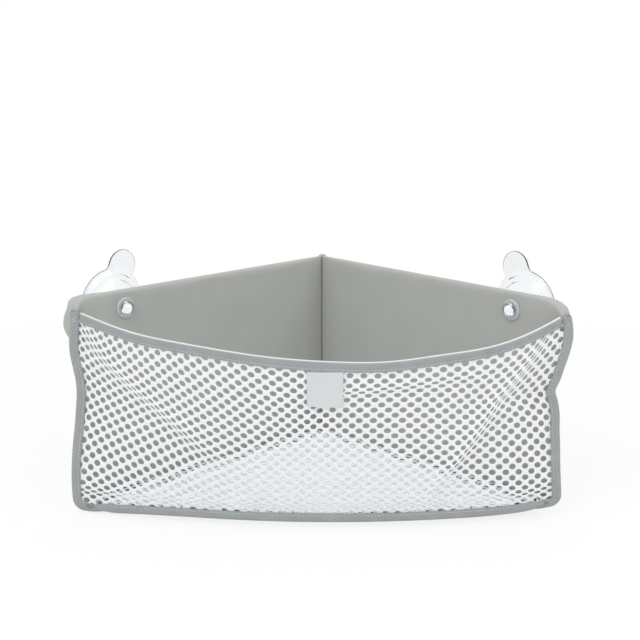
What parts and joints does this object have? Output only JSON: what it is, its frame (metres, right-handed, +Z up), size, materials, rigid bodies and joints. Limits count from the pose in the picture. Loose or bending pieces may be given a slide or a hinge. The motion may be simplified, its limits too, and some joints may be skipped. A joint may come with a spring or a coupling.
{
  "type": "bath toy organizer",
  "caption": "Corner bath toy organizer: padded cloth walls at a right angle, a swelling net front with taped seams, a net base, a sewn label and clear suction cups with pull tabs.",
  "frame": {"origin": "on the floor under the middle of the bounding box", "axes": "+X along the front, to the right as seen from the front; +Y from the front to the rear corner; +Z up"},
  "size_m": [0.439, 0.3018, 0.226],
  "materials": {
    "wall_cloth": "matte",
    "binding_tape": "matte",
    "white_net": "matte",
    "woven_label": "satin",
    "foam_board": "matte",
    "clear_vinyl": "gloss",
    "eyelet_plastic": "satin"
  },
  "bodies": {
    "bag": {"left_wall_cover": "wall_cloth", "left_wall_stiffener": "foam_board", "left_corner_binding": "binding_tape", "left_base_binding": "binding_tape", "left_eyelet": "eyelet_plastic", "left_eyelet_washer": "eyelet_plastic", "right_wall_cover": "wall_cloth", "right_wall_stiffener": "foam_board", "right_corner_binding": "binding_tape", "right_base_binding": "binding_tape", "right_eyelet": "eyelet_plastic", "right_eyelet_washer": "eyelet_plastic", "rear_corner_binding": "binding_tape", "front_net": "white_net", "base_net": "white_net", "front_rim_binding": "binding_tape", "front_base_binding": "binding_tape"},
    "left_cup": {"left_suction_cup": "clear_vinyl"},
    "right_cup": {"right_suction_cup": "clear_vinyl"},
    "label": {"front_label": "woven_label"}
  },
  "joints": [
    {"name": "left_cup_swivel", "type": "hinge", "parent": "bag", "child": "left_cup", "pos_m": [-0.17462, -0.03641, 0.177], "axis": [-0.7071, 0.7071, 0], "continuous": true},
    {"name": "right_cup_swivel", "type": "hinge", "parent": "bag", "child": "right_cup", "pos_m": [0.17462, -0.03641, 0.177], "axis": [0.7071, 0.7071, 0], "continuous": true},
    {"name": "label_flap", "type": "hinge", "parent": "bag", "child": "label", "pos_m": [0.009, -0.15064, 0.14891], "axis": [-1, 0, 0], "range_deg": [0, 120]}
  ]
}
